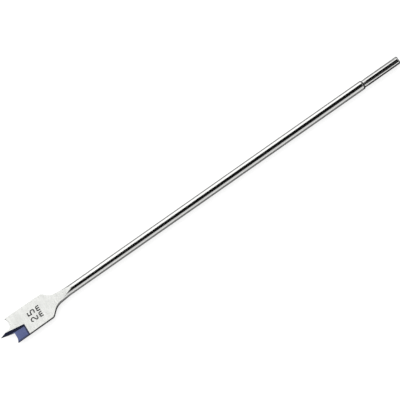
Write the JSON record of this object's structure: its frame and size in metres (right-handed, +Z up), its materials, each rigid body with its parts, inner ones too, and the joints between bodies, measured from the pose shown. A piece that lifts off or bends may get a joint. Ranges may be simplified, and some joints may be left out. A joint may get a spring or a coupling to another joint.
{
  "type": "spade drill bit",
  "caption": "Long spade drill bit for boring wood: a flat blade with a centre point, spurred lips and blue grooves, on a round shaft with a hexagonal shank.",
  "frame": {"origin": "on the floor, below the middle of the bit's length and of its axis", "axes": "+X along the bit from the point to the shank, +Z up from the floor that the shaft lies on, the blade level along Y"},
  "size_m": [0.4, 0.025, 0.0078],
  "materials": {
    "bright_steel": "polished shaft and shank, finely ground blade",
    "groove_lacquer": "thin blue lacquer over ground steel"
  },
  "bodies": {
    "root": {"spade_bit": "bright_steel"}
  },
  "joints": []
}
